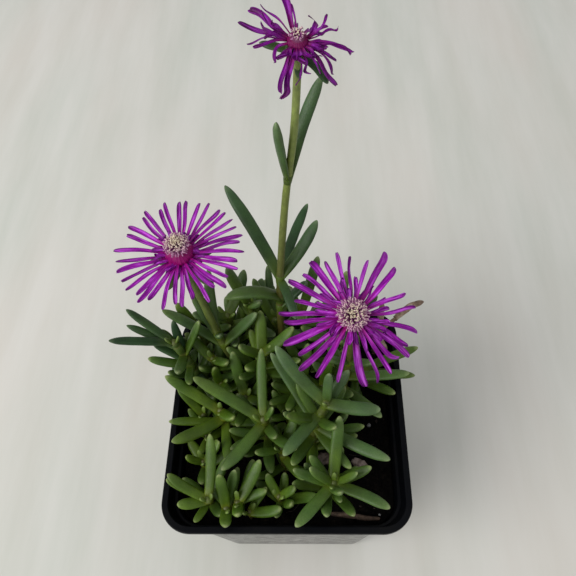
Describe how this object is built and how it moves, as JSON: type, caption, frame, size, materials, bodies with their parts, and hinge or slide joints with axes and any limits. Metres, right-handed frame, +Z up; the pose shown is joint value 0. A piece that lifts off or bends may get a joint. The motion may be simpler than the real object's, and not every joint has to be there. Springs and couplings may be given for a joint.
{
  "type": "potted ice plant",
  "caption": "Small ice plant with thick green leaves and magenta flowers on upright stems, growing in a square black plastic nursery pot of dark soil with bark chips.",
  "frame": {"origin": "centre of the pot's underside, on the surface that the pot stands on", "axes": "+Z up, the pot's sides along X and Y, its front towards -Y, the tall flower leaning back towards +Y"},
  "size_m": [0.1197, 0.1118, 0.2129],
  "materials": {
    "pot": "satin black",
    "soil": "dark, damp and crumbly",
    "leaf": "satin, finely dotted",
    "petal": "silky",
    "withered_petal": "dull",
    "stamen": "dull",
    "withered": "dry",
    "bark": "rough"
  },
  "bodies": {
    "root": {"pot": "pot", "soil": "soil", "tall_flower_stem": "leaf", "tall_petals": "withered_petal", "tall_stamens": "stamen", "left_flower_stem": "leaf", "left_petals": "petal", "left_stamens": "stamen", "right_flower_stem": "leaf", "right_petals": "petal", "right_stamens": "stamen", "far_left_shoot": "leaf", "mid_left_shoot": "leaf", "centre_shoot": "leaf", "right_centre_shoot": "leaf", "inner_shoot": "leaf", "front_left_shoot": "leaf", "front_left_side_shoot": "leaf", "front_shoot": "leaf", "front_low_shoot": "leaf", "front_middle_shoot": "leaf", "left_edge_shoot": "leaf", "left_wall_shoot": "leaf", "left_low_shoot": "leaf", "left_gap_shoot": "leaf", "front_right_shoot": "leaf", "back_centre_shoot": "leaf", "left_inner_shoot": "leaf", "back_left_shoot": "leaf", "back_gap_shoot": "leaf", "back_shoot": "leaf", "behind_stem_shoot": "leaf", "back_right_shoot": "leaf", "middle_shoot": "leaf", "left_middle_shoot": "leaf", "left_rear_shoot": "leaf", "right_gap_shoot": "leaf", "centre_back_shoot": "leaf", "centre_low_shoot": "leaf", "right_shoot": "leaf", "withered_shoot": "withered", "bark_chip_front": "bark", "bark_chip_right": "bark", "bark_chip_small": "bark", "bark_chip_left": "bark", "twig": "bark"}
  },
  "joints": []
}
